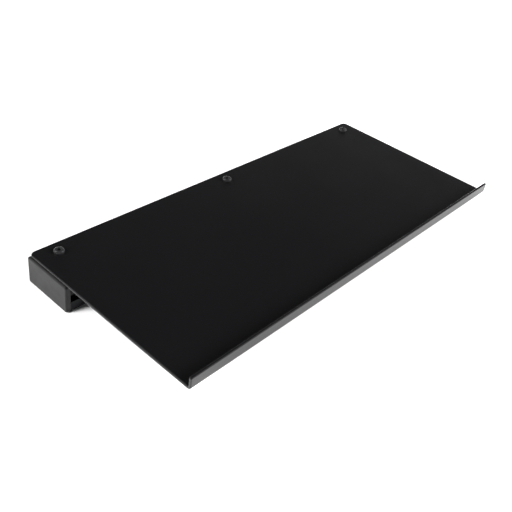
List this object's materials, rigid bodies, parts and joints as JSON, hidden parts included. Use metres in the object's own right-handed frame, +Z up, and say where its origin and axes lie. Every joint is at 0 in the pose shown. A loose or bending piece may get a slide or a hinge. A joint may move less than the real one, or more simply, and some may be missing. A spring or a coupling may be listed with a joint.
{
  "type": "kick plate",
  "caption": "Bent sheet kick plate with a low upturned front lip, screwed along its back edge to a capped T-slot rail.",
  "frame": {"origin": "below the plate's centre, at the height of the rail's underside: the bottom centre of the bounding box", "axes": "+X along the plate and the rail, to the right as seen from the lip; +Y from the lip to the back edge, across the plate; +Z up, from the rail to the deck"},
  "size_m": [0.5036, 0.22, 0.044],
  "materials": {
    "coated_sheet": "satin black powder coat with a fine texture",
    "anodised_rail": "matt black anodised",
    "moulded_caps": "moulded black plastic, fine satin",
    "black_oxide_steel": "black oxide, lightly oiled",
    "zinc_plated_steel": "bright zinc plated",
    "spring_steel": "drawn wire",
    "bright_steel": "ground and polished"
  },
  "bodies": {
    "root": {"t_slot_rail": "anodised_rail", "end_cap_left": "moulded_caps", "end_cap_right": "moulded_caps", "slot_nut_left": "zinc_plated_steel", "slot_nut_centre": "zinc_plated_steel", "slot_nut_right": "zinc_plated_steel", "nut_spring_left": "spring_steel", "nut_spring_centre": "spring_steel", "nut_spring_right": "spring_steel", "nut_ball_left": "bright_steel", "nut_ball_centre": "bright_steel", "nut_ball_right": "bright_steel", "deck_plate": "coated_sheet", "screw_left": "black_oxide_steel", "screw_centre": "black_oxide_steel", "screw_right": "black_oxide_steel"}
  },
  "joints": []
}
